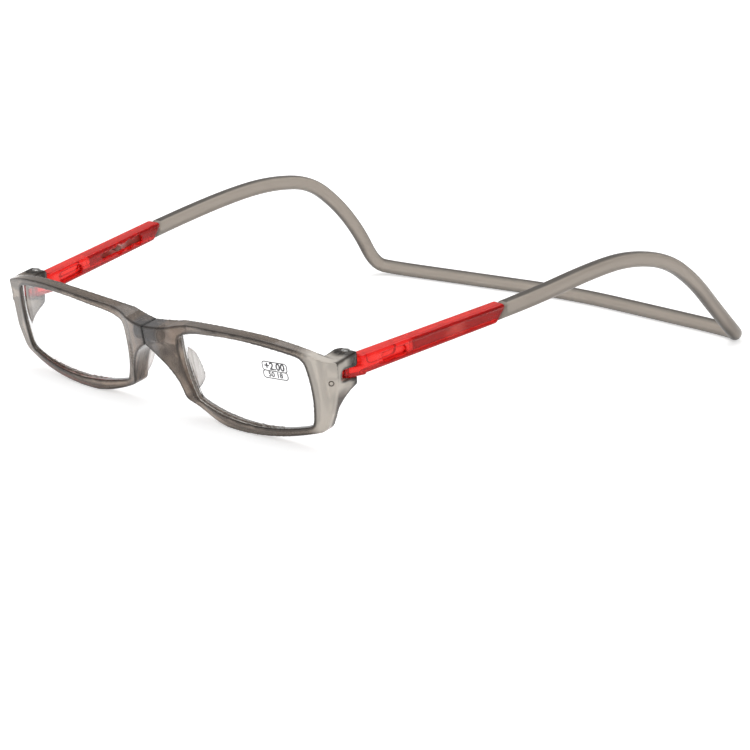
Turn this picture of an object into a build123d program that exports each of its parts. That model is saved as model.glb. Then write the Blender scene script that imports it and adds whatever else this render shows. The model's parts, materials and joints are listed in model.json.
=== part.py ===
"""Reading glasses that part at the bridge, held shut by two magnets.

The front is two halves that meet at the bridge. Each half turns about a screw at its outer end on
a red arm, and both arms slide on the flat ends of one stiff neckband, with a click at each notch.

Millimetres. +X is the wearer's left, the front faces -Y, +Z is up. Everything is drawn about the
middle of the bridge and then moved, so that the origin is the middle of the footprint at z = 0.
"""
from build123d import *
from math import cos, pi, radians, sin, tan
import os

# Fits that more than one piece uses
running_clearance = 0.05
glue_gap = 0.05
swing_gap = 0.35
cut_overrun = 3.0

# Front half, seen from the front: places are measured from the bridge and from the tilt line
tilt_deg = 12.1
tilt_line_height = 14.0
half_width = 66.5
seam_gap = 0.04
brow_peak_share = 0.6
brow_peak_up = 15.5
brow_inner_x = 8.0
brow_inner_up = 12.1
bridge_top_up = 11.7
bridge_bottom_up = 6.05
corner_up = 10.4
side_middle_inset = 1.3
side_middle_up = 0.3
side_foot_inset = 5.2
side_foot_up = -9.3
rim_foot_share = 0.45
rim_foot_up = -13.85
nasal_foot_x = 13.2
nasal_foot_up = -10.3
nasal_waist_x = 7.1
nasal_waist_up = -0.2
nasal_edge_x = 10.4
nasal_edge_up = -9.0
outer_foot_round = 4.0
nasal_foot_round = 3.0

# Lens opening
opening_nose_top = (11.2, 9.7)
opening_nose = (10.9, 1.6)
opening_nose_foot = (14.3, -8.7)
opening_brow_share = 0.53
opening_brow_up = 13.8
opening_foot_share = 0.47
opening_foot_up = -11.0
opening_temple_inset = 8.9
opening_temple_bow = 1.3
opening_temple_top_up = 11.3
opening_temple_middle_up = 2.7
opening_temple_foot_up = -8.2
opening_nose_round = 2.0
opening_temple_round = 3.4
opening_foot_round = 2.6

# Front surface, seen from above: how far back it lies at each place across
bridge_front = -3.6
bridge_shoulder = (5.0, -3.15)
bridge_flank = (8.6, -2.0)
valley = (13.2, -0.75)
face_middle_share = 0.48
face_curve_radius = 105.0
face_front = -2.03
wrap_start_inset = 7.9
wrap_start_depth = 1.3
wrap_middle_inset = 2.9
wrap_middle_depth = 2.45
wrap_end_depth = 4.8
rim_depth = 3.6
bridge_back = 2.3
bridge_back_reach = 12.0

# Lens and its groove
lens_set_back = 0.95
lens_thickness = 1.8
lens_tuck = 0.55

# Magnets in the bridge
magnet_radius = 2.2
magnet_length = 4.5
magnet_back = -0.75

# Endpiece, its two ears and the hinge screw
pin_inset = 3.3
pin_y = 9.4
ear_radius = 3.0
ear_crown_height = 27.0
ear_crown_length = 2.6
ear_crown_round = 1.6
ear_back_height = 25.2
endpiece_rise = (5.0, 26.0)
slot_floor = 19.9
slot_roof = 22.9
slot_front_y = 5.3
ear_tip_height = 19.3
ear_chin = (11.8, 18.0)
flare_knee = (9.1, 16.3)
flare_waist = (7.3, 14.2)
flare_foot = (6.0, 11.2)
flare_slopes = [(-2, -1), (-0.25, -1)]
screw_radius = 0.7
screw_head_radius = 1.25
screw_head_height = 0.9
screw_head_sink = 0.7
screw_head_bevel_share = 0.3
driver_depth_share = 0.45
driver_width_share = 0.6
insert_radius = 1.15
insert_length = 1.8

# Nose pad, a fin moulded on the back of the nasal rim
pad_thickness = 1.1
pad_reach = 4.1
pad_top_up = 5.8
pad_foot_up = -9.0
pad_turn_deg = 14.0
pad_root_depth = 1.8
pad_shoulder_drop = 3.4
pad_toe_rise = 3.4
pad_toe_reach = 3.3
pad_shoulder_round = 3.0
pad_toe_round = 4.0

# Arm, along its own axis from the hinge screw
arm_splay_deg = 7.8
arm_rise_deg = 8.0
arm_axis_height = 22.2
arm_top_length = 54.2
arm_foot_length = 49.6
arm_front_half_height = 2.65
arm_back_half_height = 2.4
arm_thickness = 4.8
arm_edge_round = 0.9
tongue_clearance = 0.1
panel_depth = 0.35
panel_start = 9.0
panel_rail = 0.95
window_start = 10.6
window_length = 8.2
window_height = 2.4
window_depth = 1.15
pocket_start = 7.4
pocket_length = 9.8
pocket_height = 3.0
pocket_depth = 1.35

# Sliding end of the neckband and its channel in the arm
bar_height = 3.0
bar_thickness = 1.7
bar_tip = 21.6
bar_round_share = 0.3
channel_clearance = 0.1
channel_front_gap = 0.4
outer_wall = 0.95
notch_pitch = 4.4
notch_count = 3
notch_first = 33.8
notch_radius = 1.5
notch_rise = 0.2
slot_start = 26.0
slot_crest = -0.4
slot_top = 1.15
catch_length = 2.2
catch_height = 1.3
catch_stand = 1.7
slide_stop_gap = 0.3

# Neckband
band_radius = 2.15
band_lead = 7.6
band_flare = 0.5
band_reach = 171.3
band_peak = 35.6
band_lean = 8.8
band_collar = 6.0

# Route of one side of the neckband as shares of half width, reach and peak height
band_route_shares = [
    (1.000, 0.560, 0.977),
    (1.000, 0.655, 1.001),
    (0.993, 0.745, 0.902),
    (0.979, 0.820, 0.690),
    (0.963, 0.880, 0.405),
    (0.940, 0.930, 0.165),
]
# Route along the table as shares of half width and reach
band_floor_shares = [
    (0.870, 0.960),
    (0.480, 0.984),
]
arc_share = 0.45


def pin_across():
    """How far across the hinge screw stands."""
    return half_width - pin_inset


def behind(depth):
    """Depth of the face curve of the lens at a place across, moved back by a given amount."""
    middle = face_middle_share * half_width
    return lambda x: face_front + depth + (x - middle) ** 2 / (2 * face_curve_radius)


def tilted(shape):
    """Leans a shape drawn upright, so that the brow comes forward about the tilt line."""
    return Location((0, 0, tilt_line_height)) * Rot(X=tilt_deg) * shape


def prism_across(face, start, end):
    """A face drawn in the front view, carried from one depth to another."""
    return extrude(Location((0, start, 0)) * face, amount=end - start, dir=(0, 1, 0))


def front_outline():
    """Outer outline of one half in the front view, bridge included."""
    seam = seam_gap / 2
    brow_peak = (brow_peak_share * half_width, brow_peak_up)
    brow_inner = (brow_inner_x, brow_inner_up)
    corner = (half_width, corner_up)
    side_middle = (half_width - side_middle_inset, side_middle_up)
    side_foot = (half_width - side_foot_inset, side_foot_up)
    rim_foot = (rim_foot_share * half_width, rim_foot_up)
    nasal_foot = (nasal_foot_x, nasal_foot_up)
    nasal_edge = (nasal_edge_x, nasal_edge_up)
    edges = [
        Line((seam, bridge_bottom_up), (seam, bridge_top_up)),
        Line((seam, bridge_top_up), brow_inner),
        TangentArc(brow_peak, brow_inner, tangent=(-1, 0)),
        TangentArc(brow_peak, corner, tangent=(1, 0)),
        ThreePointArc(corner, side_middle, side_foot),
        TangentArc(rim_foot, side_foot, tangent=(1, 0)),
        TangentArc(rim_foot, nasal_foot, tangent=(-1, 0)),
        Line(nasal_foot, nasal_edge),
        ThreePointArc(nasal_edge, (nasal_waist_x, nasal_waist_up), (seam, bridge_bottom_up)),
    ]
    face = make_face(Wire(edges))
    foot = face.vertices().sort_by_distance(side_foot)[0]
    face = fillet(foot, outer_foot_round)
    nose = face.vertices().sort_by_distance(nasal_edge)[0]
    face = fillet(nose, nasal_foot_round)
    return Plane.XZ * face


def opening_outline(grow=0.0):
    """Outline of the lens opening in the front view, grown by the depth of the groove."""
    temple = half_width - opening_temple_inset
    temple_top = (temple, opening_temple_top_up)
    temple_middle = (temple + opening_temple_bow, opening_temple_middle_up)
    temple_foot = (temple, opening_temple_foot_up)
    brow = (opening_brow_share * half_width, opening_brow_up)
    foot = (opening_foot_share * half_width, opening_foot_up)
    edges = [
        ThreePointArc(opening_nose_top, brow, temple_top),
        ThreePointArc(temple_top, temple_middle, temple_foot),
        ThreePointArc(temple_foot, foot, opening_nose_foot),
        ThreePointArc(opening_nose_foot, opening_nose, opening_nose_top),
    ]
    face = make_face(Wire(edges))
    rounds = [
        (opening_nose_top, opening_nose_round),
        (temple_top, opening_temple_round),
        (temple_foot, opening_foot_round),
        (opening_nose_foot, opening_nose_round),
    ]
    for place, radius in rounds:
        face = fillet(face.vertices().sort_by_distance(place)[0], radius)
    if grow:
        grown = offset(face, grow, kind=Kind.ARC)
        arcs = [ThreePointArc(edge @ 0, edge @ 0.5, edge @ 1) for edge in grown.edges()]
        face = make_face(Wire(arcs))
    return Plane.XZ * face


def front_curve():
    """Front surface of one half, seen from above."""
    curve = behind(0)
    middle_x = face_middle_share * half_width
    wrap_start = (half_width - wrap_start_inset, wrap_start_depth)
    wrap_middle = (half_width - wrap_middle_inset, wrap_middle_depth)
    quarter_x = (valley[0] + middle_x) / 2
    outer_x = (middle_x + wrap_start[0]) / 2
    return Spline(
        [
            (0, bridge_front),
            bridge_shoulder,
            bridge_flank,
            valley,
            (quarter_x, curve(quarter_x)),
            (middle_x, curve(middle_x)),
            (outer_x, curve(outer_x)),
            wrap_start,
            wrap_middle,
            (half_width, wrap_end_depth),
        ],
        tangents=[(1, 0), (1, 1)],
    )


def plan_prism(edges):
    """Region enclosed by edges drawn from above, taller than the front."""
    tall = brow_peak_up + cut_overrun
    low = -rim_foot_up + cut_overrun
    face = make_face(Wire(edges))
    return extrude(Location((0, 0, -low)) * face, amount=low + tall, dir=(0, 0, 1))


def behind_front():
    """Everything behind the front surface."""
    curve = front_curve()
    far = pin_y + ear_radius + tilt_line_height
    side = half_width + cut_overrun
    end = (half_width, wrap_end_depth)
    side_end = (side, wrap_end_depth + cut_overrun)
    return plan_prism([
        curve,
        Line(end, side_end),
        Line(side_end, (side, far)),
        Line((side, far), (0, far)),
        Line((0, far), (0, bridge_front)),
    ])


def rim_band():
    """Region in front of the back surface of the rim and the bridge."""
    rear = behind(rim_depth)
    near = bridge_front - cut_overrun
    middle_x = face_middle_share * half_width
    inner = (bridge_back_reach, rear(bridge_back_reach))
    outer = (half_width + cut_overrun, rear(half_width))
    return plan_prism([
        Line((0, near), (0, bridge_back)),
        Spline([(0, bridge_back), inner], tangents=[(1, 0), (1, -middle_x / face_curve_radius)]),
        ThreePointArc(inner, (middle_x, rear(middle_x)), outer),
        Line(outer, (outer[0], near)),
        Line((outer[0], near), (0, near)),
    ])


def lens_slab(start, end, grow):
    """Curved plate that follows the face curve, cut to the grown outline of the opening."""
    near = behind(start)
    far = behind(end)
    middle_x = face_middle_share * half_width
    right = 2 * middle_x
    slab = plan_prism([
        ThreePointArc((0, near(0)), (middle_x, near(middle_x)), (right, near(right))),
        Line((right, near(right)), (right, far(right))),
        ThreePointArc((right, far(right)), (middle_x, far(middle_x)), (0, far(0))),
        Line((0, far(0)), (0, near(0))),
    ])
    outline = prism_across(opening_outline(grow), face_front - cut_overrun, half_width)
    return slab & outline


def endpiece():
    """Block behind the corner of the front that carries the two ears."""
    pin_x = pin_across()
    inner_x = pin_x - ear_radius
    outer_x = pin_x + ear_radius
    plan = make_face(Wire([
        Line((inner_x, 0), (half_width, 0)),
        Line((half_width, 0), (half_width, wrap_end_depth)),
        Line((half_width, wrap_end_depth), (outer_x, pin_y)),
        ThreePointArc((outer_x, pin_y), (pin_x, pin_y + ear_radius), (inner_x, pin_y)),
        Line((inner_x, pin_y), (inner_x, 0)),
    ]))
    column = extrude(plan, amount=ear_crown_height + cut_overrun)
    back = pin_y + ear_radius
    crown = FilletPolyline(
        (0, endpiece_rise[1]),
        endpiece_rise,
        (pin_y - ear_crown_length / 2, ear_crown_height),
        (pin_y + ear_crown_length / 2, ear_crown_height),
        (back, ear_back_height),
        (back, ear_tip_height),
        radius=[ear_crown_round, ear_crown_round, ear_crown_round, ear_crown_round / 2],
    )
    side = make_face(Wire([
        *crown.edges(),
        Line((back, ear_tip_height), ear_chin),
        Spline([ear_chin, flare_knee, flare_waist, flare_foot], tangents=flare_slopes),
        Line(flare_foot, (0, flare_foot[1])),
        Line((0, flare_foot[1]), (0, endpiece_rise[1])),
    ]))
    side = Plane.YZ * side
    profile = extrude(side, amount=half_width + cut_overrun, dir=(1, 0, 0))
    return column & profile


def nose_pad():
    """Fin that carries the nasal side of the rim backwards and, as the side of a nose does, outwards."""
    seam = seam_gap / 2
    wall = ThreePointArc(
        (nasal_edge_x, nasal_edge_up), (nasal_waist_x, nasal_waist_up), (seam, bridge_bottom_up))
    inner = Pos(pad_thickness, 0) * wall
    strip = make_face(Wire([wall, Line(wall @ 1, inner @ 1), inner, Line(inner @ 0, wall @ 0)]))
    turn = radians(pad_turn_deg)
    length = (pad_root_depth + pad_reach) / cos(turn)
    strip = Location((0, -pad_root_depth, 0)) * (Plane.XZ * strip)
    web = extrude(strip, amount=length, dir=(sin(turn), cos(turn), 0))
    edge = FilletPolyline(
        (-pad_root_depth, pad_top_up),
        (pad_reach, pad_top_up - pad_shoulder_drop),
        (pad_toe_reach, pad_foot_up + pad_toe_rise),
        (-pad_root_depth, pad_foot_up),
        radius=[pad_shoulder_round, pad_toe_round],
    )
    root = Line((-pad_root_depth, pad_foot_up), (-pad_root_depth, pad_top_up))
    outline = Plane.YZ * make_face(Wire([*edge.edges(), root]))
    fin = web & extrude(outline, amount=nasal_foot_x, dir=(1, 0, 0))
    return Location((0, behind(rim_depth)(nasal_edge_x), 0)) * fin


def upright_cylinder(radius, low, high):
    """Cylinder on the hinge axis between two heights."""
    return Location((pin_across(), pin_y, (low + high) / 2)) * Cylinder(radius, high - low)


def magnet_place():
    """Middle of the magnet's inner end, in the upright front view."""
    return (seam_gap / 2, magnet_back, (bridge_top_up + bridge_bottom_up) / 2)


def magnet_solid(radius, length):
    """Cylinder from the seam into the bridge."""
    x, y, z = magnet_place()
    return Location((x + length / 2, y, z)) * Rot(Y=90) * Cylinder(radius, length)


def screw_top():
    """Height of the top of the screw's head."""
    return ear_crown_height - screw_head_sink + screw_head_height


def front_half():
    """Half of the front: rim, half bridge, nose pad and endpiece, moulded in one."""
    blank = prism_across(front_outline(), bridge_front - cut_overrun, half_width) & behind_front()
    opening = prism_across(opening_outline(), bridge_front - cut_overrun, pin_y + ear_radius)
    ears = tilted(blank) & endpiece()
    body = tilted(blank & rim_band()) + ears
    groove = lens_slab(lens_set_back - glue_gap, lens_set_back + lens_thickness + glue_gap,
                       lens_tuck + glue_gap)
    pocket = magnet_solid(magnet_radius + glue_gap, magnet_length + glue_gap)
    body += tilted(nose_pad())
    body -= tilted(opening)
    body -= tilted(groove)
    body -= tilted(pocket)
    reach = 2 * (ear_radius + cut_overrun)
    depth = pin_y + ear_radius + cut_overrun - slot_front_y
    slot = Location((pin_across(), slot_front_y + depth / 2, (slot_floor + slot_roof) / 2)) * Box(
        reach, depth, slot_roof - slot_floor)
    body -= slot
    top = screw_top() - screw_head_height
    body -= upright_cylinder(screw_head_radius + running_clearance, top, top + cut_overrun)
    body -= upright_cylinder(screw_radius + running_clearance, slot_floor, top + cut_overrun)
    body -= upright_cylinder(insert_radius + glue_gap, slot_floor - insert_length, slot_roof)
    return body


def lens():
    """Spectacle lens, held all round in the groove of the rim."""
    return tilted(lens_slab(lens_set_back, lens_set_back + lens_thickness, lens_tuck))


def magnet():
    """Round magnet glued in the bridge, flush with the seam."""
    return tilted(magnet_solid(magnet_radius, magnet_length))


def hinge_screw():
    """Screw with a slotted head, down through both ears."""
    top = screw_top()
    head = upright_cylinder(screw_head_radius, top - screw_head_height, top)
    head = chamfer(head.edges().sort_by(Axis.Z)[-1], screw_head_height * screw_head_bevel_share)
    shank = upright_cylinder(screw_radius, slot_floor - insert_length, top - screw_head_height / 2)
    depth = screw_head_height * driver_depth_share
    width = screw_radius * driver_width_share
    slot = Location((pin_across(), pin_y, top)) * Box(2 * cut_overrun, width, 2 * depth)
    return head + shank - slot


def hinge_insert():
    """Threaded brass bush in the lower ear, bored here to the screw's radius."""
    low = slot_floor - insert_length
    bush = upright_cylinder(insert_radius, low, slot_floor)
    return bush - upright_cylinder(screw_radius, low - cut_overrun, slot_roof)


def arm_direction():
    """Unit vectors of the arm: along it, and square to it upwards."""
    splay = radians(arm_splay_deg)
    rise = radians(arm_rise_deg)
    along = Vector(sin(splay) * cos(rise), cos(splay) * cos(rise), sin(rise))
    up = Vector(-sin(splay) * sin(rise), -cos(splay) * sin(rise), cos(rise))
    return along, up


def on_arm(shape):
    """Places a shape drawn along +X with the inner side at +Y on the arm's axis."""
    along, up = arm_direction()
    return Plane(origin=(pin_across(), pin_y, arm_axis_height), x_dir=along, z_dir=up) * shape


def side_plate(points, half_thickness):
    """Polygon in the arm's side view, as thick as twice the half thickness."""
    face = Plane.XZ * make_face(Polyline(*points, close=True))
    return extrude(face, amount=half_thickness, both=True)


def flat_oval(start, length, height, inner, outer, middle=0.0):
    """Slot with round ends along the arm, from one depth across it to another."""
    face = Plane.XZ * Pos(start + length / 2, middle) * SlotOverall(length, height)
    return extrude(Location((0, inner, 0)) * face, amount=outer - inner, dir=(0, 1, 0))


def channel_sides():
    """Outer and inner side of the channel, and the outer side of the bar in it."""
    half = arm_thickness / 2
    outer_side = -half + outer_wall
    shift = (notch_count - 1) * notch_pitch * sin(radians(arm_splay_deg))
    inner_side = outer_side + bar_thickness + shift + 2 * channel_clearance
    return outer_side, inner_side, outer_side + channel_clearance


def arm():
    """Red arm: a tongue for the hinge, a pocket on each side and a notched channel for the bar."""
    half = arm_thickness / 2
    shoulder = ear_radius + swing_gap + arm_front_half_height * tan(radians(arm_rise_deg))
    body = side_plate([
        (shoulder, -arm_front_half_height),
        (arm_foot_length, -arm_back_half_height),
        (arm_top_length, arm_back_half_height),
        (shoulder, arm_front_half_height),
    ], half)
    across = body.edges().filter_by(Axis.Y)
    tips = across.sort_by(Axis.X)[-2:]
    body = fillet(tips, arm_edge_round)
    body = fillet(body.faces().sort_by(Axis.Y)[-1].edges() + body.faces().sort_by(Axis.Y)[0].edges(),
                  arm_edge_round)
    rail = arm_back_half_height - panel_rail
    panel_length = arm_top_length + cut_overrun - panel_start
    panel_floor = panel_depth - half
    body -= flat_oval(panel_start, panel_length + rail, 2 * rail, -half - cut_overrun, panel_floor)
    body -= flat_oval(window_start, window_length, window_height, -half, panel_floor + window_depth)
    body -= flat_oval(pocket_start, pocket_length, pocket_height, half - pocket_depth,
                      half + cut_overrun)
    outer_side, inner_side, _ = channel_sides()
    front = bar_tip - channel_front_gap
    long = arm_top_length + cut_overrun - front
    channel = Location((front + long / 2, (outer_side + inner_side) / 2, 0)) * Box(
        long, inner_side - outer_side, bar_height + 2 * channel_clearance)
    body -= channel
    slot_length = notch_first + (notch_count - 1) * notch_pitch + notch_radius - slot_start
    slot_height = slot_top - slot_crest
    body -= Location((slot_start + slot_length / 2, half, slot_crest + slot_height / 2)) * Box(
        slot_length, 2 * (half - inner_side + running_clearance), slot_height)
    for notch in range(notch_count):
        place = notch_first + notch * notch_pitch
        body -= Location((place, half, notch_rise)) * Rot(X=90) * Cylinder(
            notch_radius, 2 * (half - inner_side + running_clearance))
    return on_arm(body) + arm_tongue(shoulder) - upright_cylinder(
        screw_radius + running_clearance, slot_floor - cut_overrun, slot_roof + cut_overrun)


def arm_tongue(shoulder):
    """Flat tongue that fills the slot between the ears, round about the screw."""
    half = arm_thickness / 2
    low = slot_floor + tongue_clearance
    high = slot_roof - tongue_clearance
    length = shoulder + arm_edge_round + swing_gap
    turn = 90 - arm_splay_deg
    bar = Location((length / 2, 0, 0)) * Box(length, 2 * half, high - low)
    tongue = bar + Cylinder(half, high - low)
    return Location((pin_across(), pin_y, (low + high) / 2), (0, 0, turn)) * tongue


def bar_solid():
    """Flat end of the neckband inside the arm, with the catch that sits in the notches."""
    _, _, bar_side = channel_sides()
    length = arm_top_length + band_collar - bar_tip
    bar = Location((bar_tip + length / 2, bar_side + bar_thickness / 2, 0)) * Box(
        length, bar_thickness, bar_height)
    bar = fillet(bar.edges().filter_by(Axis.X), bar_thickness * bar_round_share)
    face = bar_side + bar_thickness
    middle = slot_crest + channel_clearance + catch_height / 2
    start = notch_first - catch_length / 2
    root = face - bar_thickness / 2
    catch = flat_oval(start, catch_length, catch_height, root, face + catch_stand, middle)
    return bar + catch


def arm_end_keeper():
    """Wedge that covers the arm and the stop gap behind it, used to cut the neckband square to it."""
    lift = arm_back_half_height + cut_overrun
    slope = (arm_top_length - arm_foot_length) / (2 * arm_back_half_height)
    top = arm_top_length + slope * cut_overrun + slide_stop_gap
    foot = arm_foot_length - slope * cut_overrun + slide_stop_gap
    return side_plate([(0, -lift), (foot, -lift), (top, lift), (0, lift)], arm_thickness)


def band_points():
    """Corners of the neckband's route from the left arm round to the right arm."""
    along, _ = arm_direction()
    hinge = Vector(pin_across(), pin_y, arm_axis_height)
    lead = hinge + along * (arm_top_length + band_lead)
    across = lead.X + band_flare
    side = [hinge + along * (arm_foot_length - band_collar), lead]
    side += [Vector(across * x, band_reach * y, band_peak * z) for x, y, z in band_route_shares]
    side += [Vector(across * x, band_reach * y, band_radius) for x, y in band_floor_shares]
    gone = [0.0]
    for here, there in zip(side, side[1:]):
        gone.append(gone[-1] + (there - here).length)
    corner = len(band_route_shares) + 1
    left = []
    right = []
    for index, point in enumerate(side):
        if index <= 1:
            share = 0
        elif index <= corner:
            share = ((gone[index] - gone[1]) / (gone[corner] - gone[1])) ** 2
        else:
            share = point.X / side[corner].X
        left.append(point + Vector(0, band_lean * share, 0))
        right.append(Vector(-point.X, point.Y - band_lean * share, point.Z))
    return left + [Vector(0, band_reach, band_radius)] + right[::-1]


def band_radii(points):
    """Largest bend that fits at each corner of the route."""
    radii = []
    for before, here, after in zip(points, points[1:], points[2:]):
        run_in = here - before
        run_out = after - here
        turn = radians(run_in.get_angle(run_out))
        radii.append(arc_share * min(run_in.length, run_out.length) / tan(turn / 2))
    return radii


def mirrored(shape):
    """The same shape on the wearer's right."""
    return mirror(shape, about=Plane.YZ)


def neckband():
    """Stiff round band, moulded in one with the two flat ends that slide in the arms."""
    points = band_points()
    radii = band_radii(points)
    route = FilletPolyline(*points, radius=radii)
    section = Plane(origin=points[0], z_dir=route % 0) * Circle(band_radius)
    tube = sweep(section, path=route)
    print("band length", round(route.length, 1), "tightest bend", round(min(radii), 1))
    print("band volume over section times length",
          round(tube.volume / (pi * band_radius ** 2 * route.length), 4))
    keeper = on_arm(arm_end_keeper())
    bar = on_arm(bar_solid())
    tube = tube - keeper - mirrored(keeper)
    return tube + bar + mirrored(bar)


def single(shape):
    """The one solid in a shape."""
    solids = shape.solids()
    if len(solids) != 1:
        raise ValueError(f"expected one solid, found {len(solids)}")
    return solids[0]


def build():
    """All pieces by node name, on the origin of the finished object."""
    pieces = {"neckband": single(neckband())}
    sides = {
        "front": front_half(),
        "lens": lens(),
        "bridge_magnet": magnet(),
        "hinge_screw": hinge_screw(),
        "hinge_insert": hinge_insert(),
        "arm": arm(),
    }
    for name, shape in sides.items():
        pieces["left_" + name] = single(shape)
        pieces["right_" + name] = single(mirrored(shape))
    boxes = [shape.bounding_box() for shape in pieces.values()]
    front = min(box.min.Y for box in boxes)
    back = max(box.max.Y for box in boxes)
    floor = min(box.min.Z for box in boxes)
    shift = Location((0, -(front + back) / 2, -floor))
    print("moved by", [round(v, 4) for v in shift.position])
    return {name: shift * shape for name, shape in pieces.items()}


os.makedirs("parts", exist_ok=True)
for name, shape in build().items():
    export_step(shape, f"parts/{name}.step")
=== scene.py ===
"""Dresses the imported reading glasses: soft mouldings, clear lenses, a frosted band, the stage."""
import json
import math

import bpy
import numpy as np
from bpy.props import FloatProperty, FloatVectorProperty, IntProperty, PointerProperty
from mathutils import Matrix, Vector


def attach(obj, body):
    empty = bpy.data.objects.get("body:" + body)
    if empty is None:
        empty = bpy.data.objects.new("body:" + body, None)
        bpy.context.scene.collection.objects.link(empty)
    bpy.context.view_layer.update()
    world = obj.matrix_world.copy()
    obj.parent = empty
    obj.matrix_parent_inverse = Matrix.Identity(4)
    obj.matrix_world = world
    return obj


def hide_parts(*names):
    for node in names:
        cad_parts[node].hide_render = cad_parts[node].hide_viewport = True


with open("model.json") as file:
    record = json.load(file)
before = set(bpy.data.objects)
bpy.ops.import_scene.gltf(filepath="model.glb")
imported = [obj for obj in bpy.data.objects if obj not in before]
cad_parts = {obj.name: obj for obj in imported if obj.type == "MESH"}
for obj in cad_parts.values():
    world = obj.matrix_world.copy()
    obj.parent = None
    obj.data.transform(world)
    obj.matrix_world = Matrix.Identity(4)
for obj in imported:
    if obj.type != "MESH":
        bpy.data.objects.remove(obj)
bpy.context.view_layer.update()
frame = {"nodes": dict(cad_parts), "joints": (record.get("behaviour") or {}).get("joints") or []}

bl_info = {
    "name": "Magnetic bridge reading glasses",
    "version": (1, 0, 0),
    "blender": (4, 5, 0),
    "location": "View3D > Sidebar > Glasses",
    "description": "Finishes the pieces of a pair of reading glasses that parts at the bridge",
    "category": "Object",
}

mm = 0.001
sides = ("left", "right")
hinge = np.array([joint["pos_m"] for joint in frame["joints"] if joint["name"] == "left_hinge"][0])

# Lean of the front about its tilt line, and the curve of its face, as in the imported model
tilt = math.radians(12.1)
hinge_depth = 9.4 * mm
tilt_line = np.array([0.0, hinge[1] - hinge_depth, 14.0 * mm])
face_middle = 31.92 * mm
face_radius = 105.0 * mm
face_front = -2.03 * mm

# Direction of the left arm: splay outwards and rise towards the back
arm_splay = math.radians(7.8)
arm_rise = math.radians(8.0)
arm_axis_height = 22.2 * mm

# Pale patch on an arm's outer wall and on the bar behind it: place on the arm's axis, and spread
arm_patch = (35.6 * mm, 3.4 * mm)

# Painted shade as a dark line along a moulded edge: bend that counts as full, share in a hollow,
# spread, strength, and the faint bend that is left out
edge_round = 0.6 * mm
edge_crease_share = 0.2
edge_spread = 9
edge_gain = 14.0
edge_dead = 0.35

# Finishes: refraction, roughness of the polish, range of a roughness and of a colour as shares
plastic_refraction = 1.28
lens_refraction = 1.5
polish_roughness = 0.04
plastic_range = (0.8, 1.25)
metal_range = (0.7, 1.5)
metal_dark = 0.75
ink_light = 2.2


class GlassesSizes(bpy.types.PropertyGroup):
    """Sizes of the finished pieces."""

    front_grain: FloatProperty(
        name="Front detail", description="Mesh size of the two half fronts",
        default=0.21 * mm, min=0.1 * mm, unit="LENGTH", precision=5)
    arm_grain: FloatProperty(
        name="Arm detail", description="Mesh size of the two arms",
        default=0.19 * mm, min=0.1 * mm, unit="LENGTH", precision=5)
    edge_passes: IntProperty(
        name="Edge softness", description="Smoothing passes that round the moulded edges",
        default=10, min=0, max=40)
    lens_set_back: FloatProperty(
        name="Lens set back", description="Depth of the lens behind the face of the front",
        default=0.95 * mm, unit="LENGTH", precision=5)
    lens_thickness: FloatProperty(
        name="Lens thickness", description="Thickness of the lens at its middle",
        default=1.8 * mm, unit="LENGTH", precision=5)
    band_radius: FloatProperty(
        name="Band radius", description="Radius of the neckband",
        default=2.15 * mm, unit="LENGTH", precision=5)
    print_stroke: FloatProperty(
        name="Print stroke", description="Width of the lines printed on the lens",
        default=0.27 * mm, unit="LENGTH", precision=5)


class GlassesColours(bpy.types.PropertyGroup):
    """Colours of the finished pieces."""

    smoke: FloatVectorProperty(
        name="Front", description="Smoke-grey plastic of the front",
        default=(0.44, 0.355, 0.288), size=3, subtype="COLOR", min=0, max=1)
    frost: FloatVectorProperty(
        name="Neckband", description="Frosted plastic of the neckband",
        default=(0.585, 0.52, 0.455), size=3, subtype="COLOR", min=0, max=1)
    red: FloatVectorProperty(
        name="Arms", description="Transparent red plastic of the arms",
        default=(1.0, 0.042, 0.03), size=3, subtype="COLOR", min=0, max=1)
    ink: FloatVectorProperty(
        name="Print", description="Ink on the lens",
        default=(0.06, 0.06, 0.065), size=3, subtype="COLOR", min=0, max=1)
    # The ejector pin's ring is real; its dark colour is painted shade
    shade: FloatVectorProperty(
        name="Gate mark", description="Dark ring that the ejector pin leaves",
        default=(0.10, 0.085, 0.07), size=3, subtype="COLOR", min=0, max=1)


class GlassesStage(bpy.types.PropertyGroup):
    """Camera, light and floor."""

    azimuth: FloatProperty(
        name="Camera azimuth", description="Direction of the camera round the object",
        default=math.radians(44.69), subtype="ANGLE")
    elevation: FloatProperty(
        name="Camera elevation", description="Height of the camera above the horizon",
        default=math.radians(15.55), subtype="ANGLE")
    place: FloatVectorProperty(
        name="Camera place", description="Where the camera stands",
        default=(0.62198, -0.62914, 0.23917), size=3, subtype="TRANSLATION", unit="LENGTH")
    lens: FloatProperty(
        name="Focal length", description="Focal length on a 36 mm wide frame",
        default=150.16, unit="CAMERA")
    lamp_power: FloatProperty(
        name="Lamp power", description="Power of the large lamp overhead",
        default=3.2, min=0, unit="POWER")
    sky: FloatProperty(
        name="Sky strength", description="Strength of the plain light all round",
        default=0.75, min=0)
    reflected_sky: FloatProperty(
        name="Reflected sky", description="Strength of the white backdrop in reflections",
        default=0.4, min=0)
    floor_glow: FloatProperty(
        name="Floor white", description="What the floor adds where it is looked at",
        default=0.52, min=0)


def settings():
    """The three groups of settings on the scene."""
    scene = bpy.context.scene
    return scene.glasses_sizes, scene.glasses_colours, scene.glasses_stage


# Meshes

def put_mesh(name, points, faces, smooth=True):
    """New object from an array of points and a list of faces, at the origin."""
    mesh = bpy.data.meshes.new(name)
    mesh.from_pydata(points.reshape(-1, 3).tolist(), [], faces)
    mesh.update()
    mesh.polygons.foreach_set("use_smooth", np.full(len(mesh.polygons), smooth))
    thing = bpy.data.objects.new(name, mesh)
    bpy.context.scene.collection.objects.link(thing)
    return thing


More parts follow.
